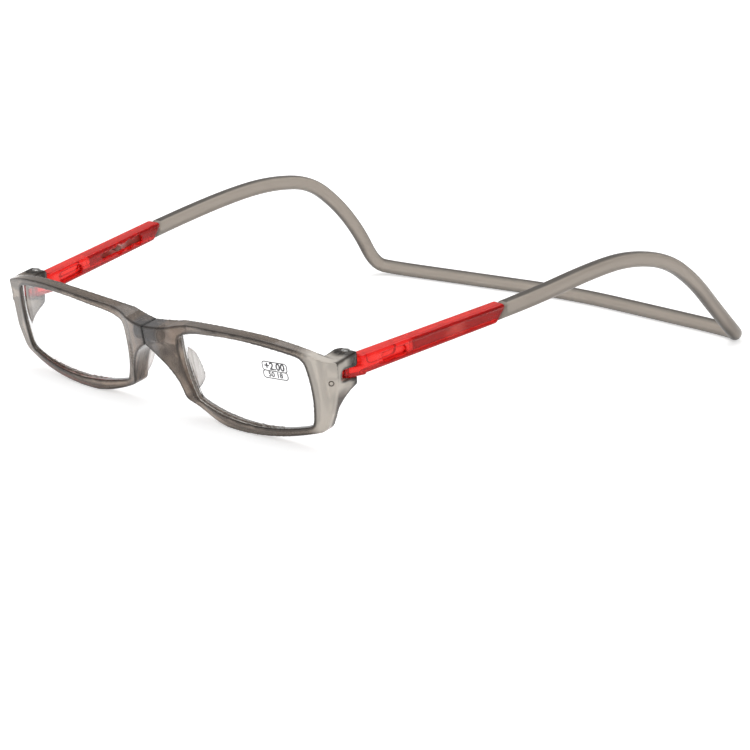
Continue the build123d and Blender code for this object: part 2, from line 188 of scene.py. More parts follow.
def grid_faces(rows, columns, closed=False):
    """Quads (i, j), (i, j+1), (i+1, j+1), (i+1, j): the columns wrap, and the rows if closed."""
    i, j = np.meshgrid(np.arange(rows if closed else rows - 1), np.arange(columns), indexing="ij")
    ahead = (i + 1) % rows * columns
    beside = (j + 1) % columns
    quads = np.stack([i * columns + j, i * columns + beside, ahead + beside, ahead + j], -1)
    return quads.reshape(-1, 4).tolist()


def tube_faces(rows, columns):
    """Quads of a tube and a flat cap at each of its ends."""
    faces = grid_faces(rows, columns)
    faces.append(list(range(columns))[::-1])
    faces.append(list(range((rows - 1) * columns, rows * columns)))
    return faces


def carried(path, side, up, profile):
    """Profile carried along a path: path_i + side * profile_j0 + up * profile_j1, with its caps."""
    points = path[:, None] + side * profile[None, :, :1] + up * profile[None, :, 1:]
    return points.reshape(-1, 3), tube_faces(len(path), len(profile))


def rounded(half, corner, count):
    """Rounded rectangle of the given half sizes: four quarter circles, anticlockwise."""
    turn = np.linspace(0, math.pi / 2, count) + np.arange(4)[:, None] * math.pi / 2
    signs = np.array([(1, 1), (-1, 1), (-1, -1), (1, -1)])
    arcs = np.stack([np.cos(turn), np.sin(turn)], -1) * corner
    return (arcs + (signs * (half - corner))[:, None]).reshape(-1, 2)


def gone_along(points):
    """Distance gone along a route at each of its points."""
    return np.concatenate([[0.0], np.cumsum(np.linalg.norm(np.diff(points, axis=0), axis=1))])


def joined(parts):
    """Several (points, faces) pairs as one."""
    points = []
    faces = []
    base = 0
    for some_points, some_faces in parts:
        points.append(some_points)
        faces += [[index + base for index in face] for face in some_faces]
        base += len(some_points)
    return np.vstack(points), faces


def unit(vectors):
    """Vectors at length 1."""
    return vectors / np.linalg.norm(vectors, axis=-1, keepdims=True)


def mirrored(points):
    """Points on the wearer's right."""
    return points * np.array([-1, 1, 1])


def flipped(faces):
    """Faces turned the other way round."""
    return [list(face)[::-1] for face in faces]


def both_sides(name, points, faces):
    """The wearer's left piece and its mirror image, each after the name of its side."""
    yield "left", put_mesh(f"left_{name}", points, faces)
    yield "right", put_mesh(f"right_{name}", mirrored(points), flipped(faces))


def leaned(points):
    """Points of the upright front view, leaned about the tilt line by its angle."""
    c, s = math.cos(tilt), math.sin(tilt)
    x, y, z = points[..., 0], points[..., 1], points[..., 2]
    return np.stack([x, y * c - z * s, y * s + z * c], -1) + tilt_line


def upright(points):
    """The inverse of leaned."""
    c, s = math.cos(tilt), math.sin(tilt)
    x, y, z = np.moveaxis(points - tilt_line, -1, 0)
    return np.stack([x, y * c + z * s, z * c - y * s], -1)


def arm_axes():
    """The left arm's hinge point on its axis, and its directions: along, inwards, and up."""
    pin = np.array([hinge[0], hinge[1], arm_axis_height])
    sin_a, cos_a = math.sin(arm_splay), math.cos(arm_splay)
    sin_b, cos_b = math.sin(arm_rise), math.cos(arm_rise)
    along = np.array([sin_a * cos_b, cos_a * cos_b, sin_b])
    up = np.array([-sin_a * sin_b, -cos_a * sin_b, cos_b])
    return pin, along, np.cross(up, along), up


def face_depth(x, depth):
    """Depth of the face curve: front + depth + (x - middle)^2 / (2 radius)."""
    return face_front + depth + (x - face_middle) ** 2 / (2 * face_radius)


def on_face(flat, depth):
    """Flat points (x, z) on the face curve, at a depth behind it."""
    x, z = flat[..., 0], flat[..., 1]
    return np.stack([x, face_depth(x, depth), z], -1)


def surface(mesh):
    """Points of a mesh, and the direction that it faces at each, as two arrays."""
    read = []
    for name in ("co", "normal"):
        values = np.zeros(len(mesh.vertices) * 3)
        mesh.vertices.foreach_get(name, values)
        read.append(values.reshape(-1, 3))
    return read


def softened(node, name, grain, passes):
    """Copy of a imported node, meshed anew at an even size and smoothed, so its edges are round."""
    mesh = frame["nodes"][node].data.copy()
    thing = bpy.data.objects.new(name, mesh)
    bpy.context.scene.collection.objects.link(thing)
    weld = thing.modifiers.new("weld", "WELD")
    weld.merge_threshold = 0.002 * mm
    remesh = thing.modifiers.new("even", "REMESH")
    remesh.mode = "VOXEL"
    remesh.voxel_size = grain
    smooth = thing.modifiers.new("soft", "SMOOTH")
    smooth.factor = 0.5
    smooth.iterations = passes
    graph = bpy.context.evaluated_depsgraph_get()
    even = bpy.data.meshes.new_from_object(thing.evaluated_get(graph))
    thing.modifiers.clear()
    thing.data = even
    even.name = name
    bpy.data.meshes.remove(mesh)
    even.materials.clear()
    even.polygons.foreach_set("use_smooth", np.full(len(even.polygons), True))
    return thing


def neighbour_mean(values, edges):
    """Mean of the values at the neighbours of each point, by the edges of the mesh."""
    here, there = np.concatenate([edges, edges[:, ::-1]]).T
    weight = np.bincount(here, minlength=len(values))
    total = [np.bincount(here, weights=column[there], minlength=len(values)) for column in values.T]
    return np.stack(total, -1) / np.maximum(weight, 1)[:, None]


def edge_shade_share(mesh, grain):
    """Share of the painted shade on the edges: how sharply the surface bends at each point, 0 to 1,
    most where it bends outwards.

    The bend is (point - mean of its neighbours) . normal / grain^2 * edge_round.
    """
    points, normals = surface(mesh)
    edges = np.zeros(len(mesh.edges) * 2, dtype=np.int32)
    mesh.edges.foreach_get("vertices", edges)
    edges = edges.reshape(-1, 2)
    step = points - neighbour_mean(points, edges)
    bend = (step * normals).sum(-1, keepdims=True) / grain ** 2 * edge_round
    bend = np.clip(bend, -edge_crease_share, 1)
    for _ in range(edge_spread):
        bend = neighbour_mean(bend, edges)
    return np.clip(np.abs(bend[:, 0]) * edge_gain - edge_dead, 0, 1)


def ramp(values, start, end):
    """0 at the start, 1 at the end and beyond: (value - start) / (end - start), clipped."""
    return np.clip((values - start) / (end - start), 0, 1)


def lens_outline():
    """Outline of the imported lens: its middle, the angles about it in order, the reach at each."""
    outline = upright(surface(frame["nodes"]["left_lens"].data)[0])[:, [0, 2]]
    middle = (outline.max(0) + outline.min(0)) / 2
    x, z = (outline - middle).T
    angle = np.arctan2(z, x)
    order = np.argsort(angle)
    return middle, angle[order], np.hypot(x, z)[order]


def patch_share(place):
    """1 at the middle of the pale patch, 0 away from it: exp(-((place - middle) / spread)^4)."""
    middle, spread = arm_patch
    return np.exp(-((place - middle) / spread) ** 4)


def put_attribute(mesh, name, values):
    """One number for each point of a mesh, for its material."""
    added = mesh.attributes.new(name, "FLOAT", "POINT")
    added.data.foreach_set("value", values.astype(np.float32))


# Materials

def new_material(name):
    """New material, with its nodes, links, shader and output."""
    made = bpy.data.materials.new(name)
    made.use_nodes = True
    nodes = made.node_tree.nodes
    return made, nodes, made.node_tree.links, nodes["Principled BSDF"], nodes["Material Output"]


def feed(links, node, inputs):
    """A node, its inputs fed by name or number: from a socket, or with a plain number or colour."""
    for name, value in inputs.items():
        socket = node.inputs[name]
        if isinstance(value, bpy.types.NodeSocket):
            links.new(value, socket)
        elif socket.type == "RGBA":
            socket.default_value = (*value, 1)
        else:
            socket.default_value = value
    return node


def ranged(nodes, links, share, low, high):
    """Number that runs from low to high with a share from 0 to 1."""
    spread = nodes.new("ShaderNodeMapRange")
    feed(links, spread, {"Value": share, "To Min": low, "To Max": high})
    return spread.outputs["Result"]


def speckle(nodes, links, scale, detail, low=0.0, high=1.0):
    """Noise on Object coordinates: mapped to a range of values, and as it comes."""
    where = nodes.new("ShaderNodeTexCoord").outputs["Object"]
    noise = nodes.new("ShaderNodeTexNoise")
    feed(links, noise, {"Vector": where, "Scale": scale, "Detail": detail})
    return ranged(nodes, links, noise.outputs["Fac"], low, high), noise.outputs["Fac"]


def tinted(nodes, links, factor, dark, light):
    """Colour that runs from dark to light with a factor, mostly in its middle."""
    shades = nodes.new("ShaderNodeValToRGB")
    for stop, position, colour in zip(shades.color_ramp.elements, (0.3, 0.7), (dark, light)):
        stop.position = position
        stop.color = (*colour, 1)
    return feed(links, shades, {"Fac": factor}).outputs["Color"]


def bumped(nodes, links, height, strength, distance):
    """The surface's direction, bumped by a height."""
    bump = nodes.new("ShaderNodeBump")
    feed(links, bump, {"Height": height, "Strength": strength, "Distance": distance})
    return bump.outputs["Normal"]


def mixed(nodes, links, factor, first, second):
    """Colour mixed from two by a factor: each is a socket or a plain colour."""
    mix = nodes.new("ShaderNodeMix")
    mix.data_type = "RGBA"
    # The node's colour sockets share their names with others, so they go by number
    return feed(links, mix, {"Factor": factor, 6: first, 7: second}).outputs[2]


def combined(nodes, links, operation, first, second):
    """Two numbers combined by an operation: each is a socket or a plain number."""
    node = nodes.new("ShaderNodeMath")
    node.operation = operation
    return feed(links, node, {0: first, 1: second}).outputs[0]


def attribute(nodes, name):
    """Value of a point attribute of the piece."""
    read = nodes.new("ShaderNodeAttribute")
    read.attribute_name = name
    return read.outputs["Fac"]


def clear_plastic(name, colour, layers, shade, absorption, density, roughness, transmission, coat,
                  milky=None, dull=None):
    """Moulded translucent plastic: flow marks in the colour, other tones, and a body that absorbs.

    A layer is the attribute that says where it is, its colour, and the scale and the range of the
    noise that multiplies it. Milky is the attribute of a place that lets less light through, and
    the transmission there. Dull is the same for a place with less coat.
    """
    made, nodes, links, shader, output = new_material(name)
    flow, raw = speckle(nodes, links, scale=90.0, detail=3.0)
    shown = tinted(nodes, links, flow, [value * shade for value in colour], colour)
    for zone, tone, scale, low, high in layers:
        uneven, _ = speckle(nodes, links, scale, detail=1.0, low=low, high=high)
        share = combined(nodes, links, "MULTIPLY", attribute(nodes, zone), uneven)
        shown = mixed(nodes, links, share, shown, tone)
    finest, coarsest = (roughness * end for end in plastic_range)
    rough, _ = speckle(nodes, links, scale=240.0, detail=2.0, low=finest, high=coarsest)
    if milky:
        where, there = milky
        transmission = ranged(nodes, links, attribute(nodes, where), transmission, there)
    if dull:
        where, there = dull
        coat = ranged(nodes, links, attribute(nodes, where), coat, there)
    feed(links, shader, {
        "Base Color": shown,
        "Roughness": rough,
        "IOR": plastic_refraction,
        "Transmission Weight": transmission,
        "Coat Weight": coat,
        "Coat Roughness": polish_roughness,
        "Normal": bumped(nodes, links, raw, strength=0.05, distance=0.02 * mm),
    })
    body = nodes.new("ShaderNodeVolumeAbsorption")
    feed(links, body, {"Color": absorption, "Density": density})
    feed(links, output, {"Volume": body.outputs["Volume"]})
    return made


def metal(name, colour, roughness, scale):
    """Turned or plated metal, a little uneven in colour and roughness."""
    made, nodes, links, shader, _ = new_material(name)
    finest, coarsest = (roughness * end for end in metal_range)
    grain, raw = speckle(nodes, links, scale, detail=4.0, low=finest, high=coarsest)
    dark = [value * metal_dark for value in colour]
    feed(links, shader, {
        "Base Color": tinted(nodes, links, raw, dark, colour),
        "Roughness": grain,
        "Metallic": 1.0,
        "Normal": bumped(nodes, links, raw, strength=0.2, distance=0.01 * mm),
    })
    return made


def ink_material(name, colour):
    """Thin printed ink, a little uneven."""
    made, nodes, links, shader, _ = new_material(name)
    _, raw = speckle(nodes, links, scale=3000.0, detail=2.0)
    light = [value * ink_light for value in colour]
    feed(links, shader, {"Base Color": tinted(nodes, links, raw, colour, light), "Roughness": 0.55})
    return made


def dress(thing, material, body, replaces=()):
    """Gives a piece its material, its body and the nodes that it stands for."""
    thing.data.materials.clear()
    thing.data.materials.append(material)
    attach(thing, body)
    if replaces:
        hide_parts(*replaces)


def dress_node(node, material):
    """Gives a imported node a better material."""
    frame["nodes"][node].material_slots[0].material = material


# Stage

class GLASSES_OT_stage(bpy.types.Operator):
    """Puts up the floor, the light and the camera."""

    bl_idname = "glasses.stage"
    bl_label = "Stage"

    floor_half = 3.0
    floor_colour = (0.86, 0.86, 0.86)

    # Lamps: name, place, size, and share of the lamp power
    lamps = (
        ("lamp_over", (-0.25, 0.1, 0.9), 0.9, 1.0),
        ("lamp_side", (0.9, -0.5, 0.55), 0.5, 0.25),
    )

    def execute(self, context):
        _, _, stage = settings()
        scene = context.scene
        scene.view_settings.view_transform = "Standard"
        corners = np.array([(-1, -1, 0), (1, -1, 0), (1, 1, 0), (-1, 1, 0)]) * self.floor_half
        floor = put_mesh("floor", corners, [[0, 1, 2, 3]], smooth=False)
        floor.data.materials.append(self.floor_material(stage))
        self.light_world(scene, stage)
        for name, place, size, share in self.lamps:
            self.hang_lamp(name, place, size, stage.lamp_power * share)
        self.put_camera(scene, stage)
        return {"FINISHED"}

    @staticmethod
    def emptied(owner):
        """Nodes and links of a material or world, cleared of those that it comes with."""
        owner.use_nodes = True
        owner.node_tree.nodes.clear()
        return owner.node_tree.nodes, owner.node_tree.links

    @staticmethod
    def seen_directly(nodes, links):
        """1 for camera, glossy and transmitted rays, 0 for the rays that light the object."""
        path = nodes.new("ShaderNodeLightPath")
        total = path.outputs["Is Camera Ray"]
        for name in ("Is Glossy Ray", "Is Transmission Ray"):
            total = combined(nodes, links, "MAXIMUM", total, path.outputs[name])
        return total

    def floor_material(self, stage):
        """Pale floor that keeps shadows and is lifted to white where it is looked at."""
        made = bpy.data.materials.new("floor")
        nodes, links = self.emptied(made)
        seen = self.seen_directly(nodes, links)
        lift = combined(nodes, links, "MULTIPLY", seen, stage.floor_glow)
        plain = feed(links, nodes.new("ShaderNodeBsdfDiffuse"), {"Color": self.floor_colour})
        glow = feed(links, nodes.new("ShaderNodeEmission"), {"Strength": lift})
        both = nodes.new("ShaderNodeAddShader")
        feed(links, both, {0: plain.outputs[0], 1: glow.outputs[0]})
        feed(links, nodes.new("ShaderNodeOutputMaterial"), {"Surface": both.outputs[0]})
        return made

    def light_world(self, scene, stage):
        """Even pale light all round, white where it is looked at and dimmer in reflections."""
        world = bpy.data.worlds.new("studio")
        scene.world = world
        nodes, links = self.emptied(world)
        glossy = nodes.new("ShaderNodeLightPath").outputs["Is Glossy Ray"]
        dim = ranged(nodes, links, glossy, 1.0, stage.reflected_sky)
        light = feed(links, nodes.new("ShaderNodeBackground"), {"Strength": stage.sky})
        white = nodes.new("ShaderNodeBackground")
        feed(links, white, {"Color": (1, 1, 1), "Strength": dim})
        mix = nodes.new("ShaderNodeMixShader")
        seen = self.seen_directly(nodes, links)
        feed(links, mix, {"Fac": seen, 1: light.outputs[0], 2: white.outputs[0]})
        feed(links, nodes.new("ShaderNodeOutputWorld"), {"Surface": mix.outputs[0]})

    def hang_lamp(self, name, place, size, power):
        """Square lamp that looks at the middle of the object."""
        data = bpy.data.lights.new(name, "AREA")
        data.shape = "SQUARE"
        data.size = size
        data.energy = power
        self.put_up(name, data, place, -Vector(place))

    def put_camera(self, scene, stage):
        """Camera at the photograph's viewing angle."""
        data = bpy.data.cameras.new("camera")
        data.sensor_width = 36.0
        data.lens = stage.lens
        data.clip_start = 0.01
        data.clip_end = 20.0
        a, e = stage.azimuth, stage.elevation
        back = Vector((math.sin(a) * math.cos(e), -math.cos(a) * math.cos(e), math.sin(e)))
        scene.camera = self.put_up("camera", data, stage.place, -back)

    @staticmethod
    def put_up(name, data, place, ahead):
        """Lamp or camera at a place, looking ahead."""
        thing = bpy.data.objects.new(name, data)
        thing.location = place
        thing.rotation_mode = "QUATERNION"
        thing.rotation_quaternion = ahead.to_track_quat("-Z", "Y")
        bpy.context.scene.collection.objects.link(thing)
        return thing


# Pieces

class GLASSES_OT_fronts(bpy.types.Operator):
    """Finishes the two half fronts."""

    bl_idname = "glasses.fronts"
    bl_label = "Half fronts"

    # Tones: attribute, colour, scale of its noise, and the range that it multiplies the share by
    layers = (
        # Painted light: the temples lighter and milkier, less so on the right
        ("lit_temple", (0.84, 0.775, 0.69), 120.0, 0.9, 1.0),
        # Painted shade: a dark brown mottle about the bridge
        ("bridge", (0.16, 0.115, 0.09), 260.0, -0.7, 1.7),
        ("magnet", (0.27, 0.28, 0.305), 700.0, 0.2, 1.1),
        ("thin", (0.96, 0.93, 0.91), 120.0, 0.95, 1.0),
        ("lit", (0.97, 0.94, 0.90), 300.0, 0.9, 1.0),
        # Painted shade: the ears near black, with less coat
        ("ear_shade", (0.03, 0.026, 0.023), 900.0, 0.7, 1.2),
        # Painted shade: the rear of the outer side and the opening's outer wall dark
        ("flank_shade", (0.07, 0.055, 0.045), 400.0, 0.8, 1.0),
        # Painted shade: a dark line along the moulded edges
        ("edge", (0.045, 0.034, 0.027), 300.0, 0.8, 1.0),
        # Painted shade: a dark line beside the opening's outer side
        ("line", (0.06, 0.048, 0.04), 300.0, 0.85, 1.0),
        ("seam", (0.01, 0.01, 0.01), 300.0, 0.9, 1.0),
    )

    # Zones by the distance from the middle plane, start and full, and the right temple's share of
    # the painted light
    seam_zone = (0.65 * mm, 0.2 * mm)
    magnet_zone = (5.5 * mm, 4.0 * mm)
    bridge_rise = (4.0 * mm, 7.0 * mm)
    bridge_fall = (17.0 * mm, 12.0 * mm)
    temple_zone = (55.5 * mm, 59.5 * mm)
    right_temple = 0.35

    # The fin: distance from the middle plane, height over the tilt line, and depth behind the face
    fin_zone = (14.0 * mm, 13.0 * mm)
    fin_top = 6.5 * mm
    fin_depth = (3.6 * mm, 4.6 * mm)

    # The painted shade on the ears: distance from the hinge axis, height of their tops, and reach
    # behind the axis
    ear_zone = (4.4 * mm, 3.0 * mm)
    ear_height = (20.0 * mm, 22.0 * mm)
    ear_rear = (-0.5 * mm, 1.5 * mm)

    # The painted shade on the flank: how far it faces outwards, depth, height, and the facing of the
    # opening's wall
    flank_facing = (0.25, 0.55)
    flank_depth = (1.0 * mm, 1.8 * mm)
    flank_height = (18.0 * mm, 15.0 * mm)
    opening_facing = (0.5, 0.8)

    # Walls: depth, which is less beyond the outer side, and the lit ones: how far they face
    # outwards or upwards, distance from the middle plane, and top
    wall_depth = (0.5 * mm, 3.0 * mm)
    outer_side = 61.0 * mm
    outer_depth = 1.4 * mm
    lit_facing = (0.4, 0.7)
    lit_zone = (7.5 * mm, 20.0 * mm)
    lit_top = -4.0 * mm

    # The painted shade beside the opening, a dark line: distance from the lens, cosine of its angle,
    # and depth
    line_width = (0.65 * mm, 0.15 * mm)
    line_side = (0.1, 0.6)
    line_depth = 1.0 * mm

    # What the walls, the temple's crease, the fin and the lit walls each take off the painted shade
    # on the edges, and how milky these are
    edge_losses = (0.85, 0.95, 0.8, 0.9)
    edge_milky = 0.7

    def execute(self, context):
        sizes, colours, _ = settings()
        smoke = clear_plastic(
            "smoke_plastic", colours.smoke, self.layers, shade=0.94,
            absorption=(0.84, 0.77, 0.70), density=90.0, roughness=0.17, transmission=0.72,
            coat=0.5, milky=("milky", 0.35), dull=("ear_shade", 0.08))
        for side in sides:
            grain = sizes.front_grain
            shell = softened(f"{side}_front", f"{side}_front_shell", grain, sizes.edge_passes)
            self.mark_zones(shell.data, grain)
            dress(shell, smoke, f"{side}_half", [f"{side}_front"])
        return {"FINISHED"}

    def mark_zones(self, mesh, grain):
        """Point attributes from 0 to 1 that say where each tone of the front is.

        The seam, the magnet and the painted shade of the bridge follow one another outwards from the
        middle plane, and the painted light of the temple is beyond the lens. Thin is the fin, and
        the painted shade of the ears is on top and behind about the hinge axis. The painted shade of
        the flank is the rear of the outer side and the opening's outer wall, a painted highlight is
        on its nasal and lower walls, and a painted dark line runs beside its outer side. Another
        painted dark line is on the moulded edges. Milky is where less light comes through.
        """
        points, normals = surface(mesh)
        outwards = normals[:, 0] * np.sign(points[:, 0])
        share = np.where(points[:, 0] < 0, self.right_temple, 1.0)
        points[:, 0] = np.abs(points[:, 0])
        flat = upright(points)
        across, height = flat[:, 0], flat[:, 2]
        depth = flat[:, 1] - face_depth(across, 0.0)
        lit_temple = ramp(across, *self.temple_zone) * share
        fin = ramp(across, *self.fin_zone) * (height < self.fin_top) * ramp(depth, *self.fin_depth)

        reach = np.hypot(points[:, 0] - hinge[0], points[:, 1] - hinge[1])
        behind = ramp(points[:, 1] - hinge[1], *self.ear_rear)
        top = ramp(points[:, 2], *self.ear_height)
        ear_shade = ramp(reach, *self.ear_zone) * np.maximum(top, behind)

        low = ramp(points[:, 2], *self.flank_height)
        side_wall = ramp(outwards, *self.flank_facing) * ramp(depth, *self.flank_depth) * low
        opening_wall = ramp(-outwards, *self.opening_facing) * lit_temple * (depth < self.wall_depth[1])
        flank_shade = np.maximum(side_wall * (across > self.temple_zone[1]), opening_wall)

        rear = np.where(across > self.outer_side, self.outer_depth, self.wall_depth[1])
        walls = (depth > self.wall_depth[0]) & (depth < rear)
        nasal = ramp(outwards, *self.lit_facing) * (across < self.lit_zone[1])
        lower = ramp(normals[:, 2], *self.lit_facing) * (height < self.lit_top)
        lit = np.maximum(nasal, lower) * (across > self.lit_zone[0]) * walls

        middle, angles, reaches = lens_outline()
        turn = np.arctan2(height - middle[1], across - middle[0])
        lens_reach = np.interp(turn, angles, reaches, period=2 * math.pi)
        beside = np.hypot(across - middle[0], height - middle[1]) - lens_reach
        line = ramp(beside, *self.line_width) * ramp(np.cos(turn), *self.line_side)
        line = line * (depth < self.line_depth)

        edge = edge_shade_share(mesh, grain)
        for loss, zone in zip(self.edge_losses, (walls, lit_temple * (depth < rear), fin, lit)):
            edge = edge * (1 - loss * zone)
        zones = {
            "seam": ramp(across, *self.seam_zone),
            "magnet": ramp(across, *self.magnet_zone),
            "bridge": ramp(across, *self.bridge_rise) * ramp(across, *self.bridge_fall),
            "lit_temple": lit_temple,
            "thin": fin,
            "ear_shade": ear_shade,
            "flank_shade": flank_shade,
            "lit": lit,
            "line": line,
            "edge": edge,
            "milky": np.max([lit_temple, lit, ear_shade, flank_shade, line, edge * self.edge_milky], 0),
        }
        for name, values in zones.items():
            put_attribute(mesh, name, values)


class GLASSES_OT_lenses(bpy.types.Operator):
    """Makes the two curved lenses."""

    bl_idname = "glasses.lenses"
    bl_label = "Lenses"

    rim_points = 160
    rings = 14

    def execute(self, context):
        sizes, _, _ = settings()
        made, nodes, links, shader, _ = new_material("lens_plastic")
        haze, raw = speckle(nodes, links, scale=90.0, detail=2.0, high=0.012)
        tint = tinted(nodes, links, raw, (0.985, 0.99, 0.99), (1.0, 1.0, 1.0))
        feed(links, shader, {"Base Color": tint, "Roughness": haze, "IOR": lens_refraction,
                             "Transmission Weight": 1.0})
        points, faces = self.lens(sizes)
        for side, piece in both_sides("lens_blank", points, faces):
            dress(piece, made, f"{side}_half", [f"{side}_lens"])
        return {"FINISHED"}

    def lens(self, sizes):
        """Disc (angle, t): rim(angle) * t about the middle, on the front and the back face curve.

        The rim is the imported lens's own outline, taken by angle about its middle.
        """
        turn = np.linspace(-math.pi, math.pi, self.rim_points, endpoint=False)
        middle, angles, reaches = lens_outline()
        rim = np.interp(turn, angles, reaches, period=2 * math.pi)
        edge = np.stack([rim * np.cos(turn), rim * np.sin(turn)], -1)
        share = np.linspace(0, 1, self.rings + 1)[1:]
        flat = middle + share[:, None, None] * edge[None]
        depths = (sizes.lens_set_back, sizes.lens_set_back + sizes.lens_thickness)
        front, back = (on_face(flat, depth) for depth in depths)
        poles = np.array([on_face(middle, depth) for depth in depths])
        grid = np.concatenate([front, back[::-1]])
        points = np.vstack([grid.reshape(-1, 3), poles])
        count = len(points) - len(poles)
        first = np.arange(self.rim_points)
        after = np.roll(first, -1)
        last_ring = count - self.rim_points
        faces = flipped(grid_faces(len(grid), self.rim_points))
        fans = ((count, first, after), (count + 1, after + last_ring, first + last_ring))
        for pole, one, other in fans:
            faces += np.stack([np.full(self.rim_points, pole), one, other], -1).tolist()
        return leaned(points), faces


class GLASSES_OT_print(bpy.types.Operator):
    """Prints the strength in its two-row box on the left lens."""

    bl_idname = "glasses.print"
    bl_label = "Lens print"

    # The box in the upright front view: its left, right, low and high side, and the line inside it
    box = np.array([43.6, 51.6, 4.2, 8.9]) * mm
    row_line = 6.35 * mm
    corner = 0.8 * mm
    corner_points = 8
    strength = "+2.00"
    strength_height = 2.9 * mm
    width_code = "50 18"
    width_height = 2.1 * mm
    figure_weight = 0.028
    lift = 0.02 * mm

    def execute(self, context):
        sizes, colours, _ = settings()
        left, right, low, high = self.box
        boxes = []
        figures = []
        for foot, top, words, height in (
                (self.row_line, high, self.strength, self.strength_height),
                (low, self.row_line, self.width_code, self.width_height)):
            middle = np.array([left + right, foot + top]) / 2
            half = np.array([right - left, top - foot]) / 2
            outline = middle + rounded(half, self.corner, self.corner_points)
            boxes.append(self.ribbon(outline, sizes))
            figures.append(self.lettering(words, height, middle, sizes))
        piece = put_mesh("left_lens_print", *joined(boxes + figures), smooth=False)
        dress(piece, ink_material("lens_ink", colours.ink), "left_half")
        return {"FINISHED"}

    def on_lens(self, flat, sizes, lift):
        """Flat points (x, z) on the front of the lens, raised towards the viewer."""
        return leaned(on_face(flat, sizes.lens_set_back - lift))

    def ribbon(self, outline, sizes):
        """Closed strip: outline +- normal * stroke / 2, from inside the lens to just off it."""
        ahead = unit(np.roll(outline, -1, 0) - np.roll(outline, 1, 0))
        normal = np.stack([-ahead[:, 1], ahead[:, 0]], -1)
        inner = outline + normal * sizes.print_stroke / 2
        outer = outline - normal * sizes.print_stroke / 2
        corners = ((outer, -self.lift), (outer, self.lift), (inner, self.lift), (inner, -self.lift))
        grid = np.stack([self.on_lens(flat, sizes, lift) for flat, lift in corners])
        return grid.reshape(-1, 3), grid_faces(len(corners), len(outline), closed=True)

    def lettering(self, words, height, middle, sizes):
        """Plain figures as a thin mesh, centred on a place of the lens."""
        curve = bpy.data.curves.new("figures", "FONT")
        curve.body = words
        curve.align_x = "CENTER"
        curve.align_y = "CENTER"
        curve.size = height
        curve.extrude = self.lift
        curve.offset = self.figure_weight * height
        curve.resolution_u = 3
        carrier = bpy.data.objects.new("figures", curve)
        mesh = bpy.data.meshes.new_from_object(carrier)
        points, _ = surface(mesh)
        faces = [list(face.vertices) for face in mesh.polygons]
        bpy.data.objects.remove(carrier)
        bpy.data.curves.remove(curve)
        bpy.data.meshes.remove(mesh)
        return self.on_lens(points[:, :2] + middle, sizes, points[:, 2]), faces


class GLASSES_OT_gate_marks(bpy.types.Operator):
    """Leaves the small ring of the ejector pin on the side of each half front, dark with painted
    shade.
    """

    bl_idname = "glasses.gate_marks"
    bl_label = "Gate marks"

    # Place that the ring is nearest to, its depth counted from the tilt line
    place = np.array([63.9, 3.5, 19.9]) * mm
    ring_radius = 0.64 * mm
    wire_radius = 0.17 * mm
    ring_points = 32
    wire_points = 8

    def execute(self, context):
        _, colours, _ = settings()
        shell = bpy.data.objects["left_front_shell"]
        near = self.place + (0, tilt_line[1], 0)
        _, spot, normal, _ = shell.closest_point_on_mesh(Vector(near))
        points, faces = self.ring(np.array(spot), np.array(normal))
        material = ink_material("gate_shadow", colours.shade)
        for side, piece in both_sides("gate_mark", points, faces):
            dress(piece, material, f"{side}_half")
        return {"FINISHED"}

    def ring(self, spot, normal):
        """Torus square to the normal: spot + (R + r cos v)(a cos u + b sin u) + n r sin v."""
        a = unit(np.cross(normal, (0.0, 0.0, 1.0)))
        b = np.cross(normal, a)
        u = np.linspace(0, 2 * math.pi, self.ring_points, endpoint=False)[:, None, None]
        v = np.linspace(0, 2 * math.pi, self.wire_points, endpoint=False)[None, :, None]
        reach = self.ring_radius + self.wire_radius * np.cos(v)
        points = spot + reach * (a * np.cos(u) + b * np.sin(u))
        points = points + normal * self.wire_radius * np.sin(v)
        faces = grid_faces(self.ring_points, self.wire_points, closed=True)
        return points.reshape(-1, 3), flipped(faces)


class GLASSES_OT_arms(bpy.types.Operator):
    """Finishes the two red arms."""

    bl_idname = "glasses.arms"
    bl_label = "Arms"

    # Tones: attribute, colour, scale of its noise, and the range that it multiplies the share by
    layers = (
        # Painted light: the top faces their own red and milkier
        ("lit_roof", (1.0, 0.035, 0.024), 150.0, 0.85, 1.0),
        ("patch", (1.0, 0.22, 0.17), 150.0, 0.8, 1.0),
        # Painted shade: a darker red line along the edges
        ("edge", (0.80, 0.010, 0.010), 420.0, 0.6, 1.0),
    )

    # How far a face turns upwards for the painted light on top, and the half height of the pale
    # patch
    roof_facing = (0.6, 0.9)
    patch_half = 1.5 * mm

    def execute(self, context):
        sizes, colours, _ = settings()
        red = clear_plastic(
            "red_plastic", colours.red, self.layers, shade=0.92,
            absorption=(0.99, 0.60, 0.56), density=30.0, roughness=0.07, transmission=0.80,
            coat=0.12, milky=("lit_roof", 0.35))
        for side in sides:
            shell = softened(f"{side}_arm", f"{side}_arm_shell", sizes.arm_grain, sizes.edge_passes)
            self.mark_tones(shell.data, sizes.arm_grain)
            dress(shell, red, f"{side}_arm", [f"{side}_arm"])
        return {"FINISHED"}

    def mark_tones(self, mesh, grain):
        """Point attributes from 0 to 1: painted light on top, patch on the outer side, painted shade
        on its edges.
        """
        points, normals = surface(mesh)
        points[:, 0] = np.abs(points[:, 0])
        pin, along, inner, up = arm_axes()
        place, across, height = ((points - pin) @ direction for direction in (along, inner, up))
        lit_roof = ramp(normals[:, 2], *self.roof_facing)
        pale = patch_share(place) * (across < 0) * (np.abs(height) < self.patch_half)
        put_attribute(mesh, "lit_roof", lit_roof)
        put_attribute(mesh, "patch", pale * (1 - lit_roof))
        put_attribute(mesh, "edge", edge_shade_share(mesh, grain))


